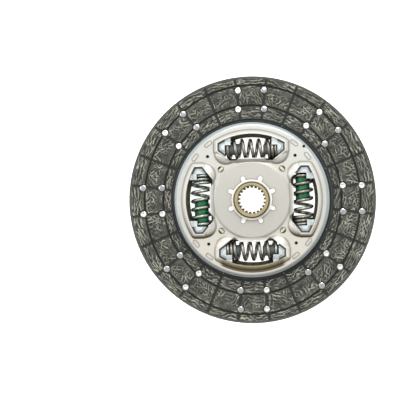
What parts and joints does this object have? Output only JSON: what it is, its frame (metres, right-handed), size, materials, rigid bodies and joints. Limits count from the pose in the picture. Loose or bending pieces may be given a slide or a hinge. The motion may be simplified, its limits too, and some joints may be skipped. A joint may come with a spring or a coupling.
{
  "type": "clutch disc",
  "caption": "Dry clutch disc with grooved friction facings, a sprung damper hub behind windowed plates and an internally splined hub.",
  "frame": {"origin": "on the disc's axis, midway between the front and rear friction facings", "axes": "+Z along the axis, towards the cover plate side; +X and +Y in the facings' plane, through two of the damper windows"},
  "size_m": [0.26, 0.26, 0.0338],
  "materials": {
    "facing": "woven organic friction material with brass-tan strands, matt",
    "rivet": "plated tubular rivets",
    "spring_steel_sheet": "hardened spring steel, dark",
    "plate": "satin pressed steel, lightly oiled",
    "pin": "plain steel pins, staked",
    "coil_steel": "shot-peened spring wire, brownish grey",
    "seat": "moulded resin, pale blue-grey",
    "torsion_rubber": "moulded green elastomer",
    "hub_steel": "machined steel with a straw-coloured phosphate film",
    "bush_resin": "moulded white resin",
    "thrust_resin": "moulded dark resin",
    "friction_washer": "bonded friction paper, brown",
    "claw_plate": "yellow-plated steel"
  },
  "bodies": {
    "plates": {"front_facing": "facing", "rear_facing": "facing", "front_facing_rivets": "rivet", "rear_facing_rivets": "rivet", "cushion_segment_1": "spring_steel_sheet", "cushion_segment_2": "spring_steel_sheet", "cushion_segment_3": "spring_steel_sheet", "cushion_segment_4": "spring_steel_sheet", "cushion_segment_5": "spring_steel_sheet", "cushion_segment_6": "spring_steel_sheet", "cushion_segment_7": "spring_steel_sheet", "cushion_segment_8": "spring_steel_sheet", "cover_plate": "plate", "disc_plate": "plate", "stop_pins": "pin", "segment_rivets": "pin", "damper_spring_top": "coil_steel", "damper_spring_left": "coil_steel", "damper_spring_bottom": "coil_steel", "damper_spring_right": "coil_steel", "plate_seat_top": "seat", "plate_seat_left": "seat", "plate_seat_bottom": "seat", "plate_seat_right": "seat", "hub_bush": "bush_resin", "thrust_bush": "thrust_resin", "friction_washer": "friction_washer", "claw_plate": "claw_plate", "cone_spring": "spring_steel_sheet"},
    "hub": {"splined_hub": "hub_steel", "hub_seat_top": "seat", "hub_seat_left": "seat", "hub_seat_bottom": "seat", "hub_seat_right": "seat", "torsion_cushion_left": "torsion_rubber", "torsion_cushion_right": "torsion_rubber"}
  },
  "joints": [
    {"name": "hub_twist", "type": "hinge", "parent": "plates", "child": "hub", "pos_m": [0, 0, 0.00935], "axis": [0, 0, 1], "range_deg": [-16, 0], "stiffness_Nm_per_rad": 60, "deforming": ["damper_spring_top", "damper_spring_left", "damper_spring_bottom", "damper_spring_right"]}
  ]
}
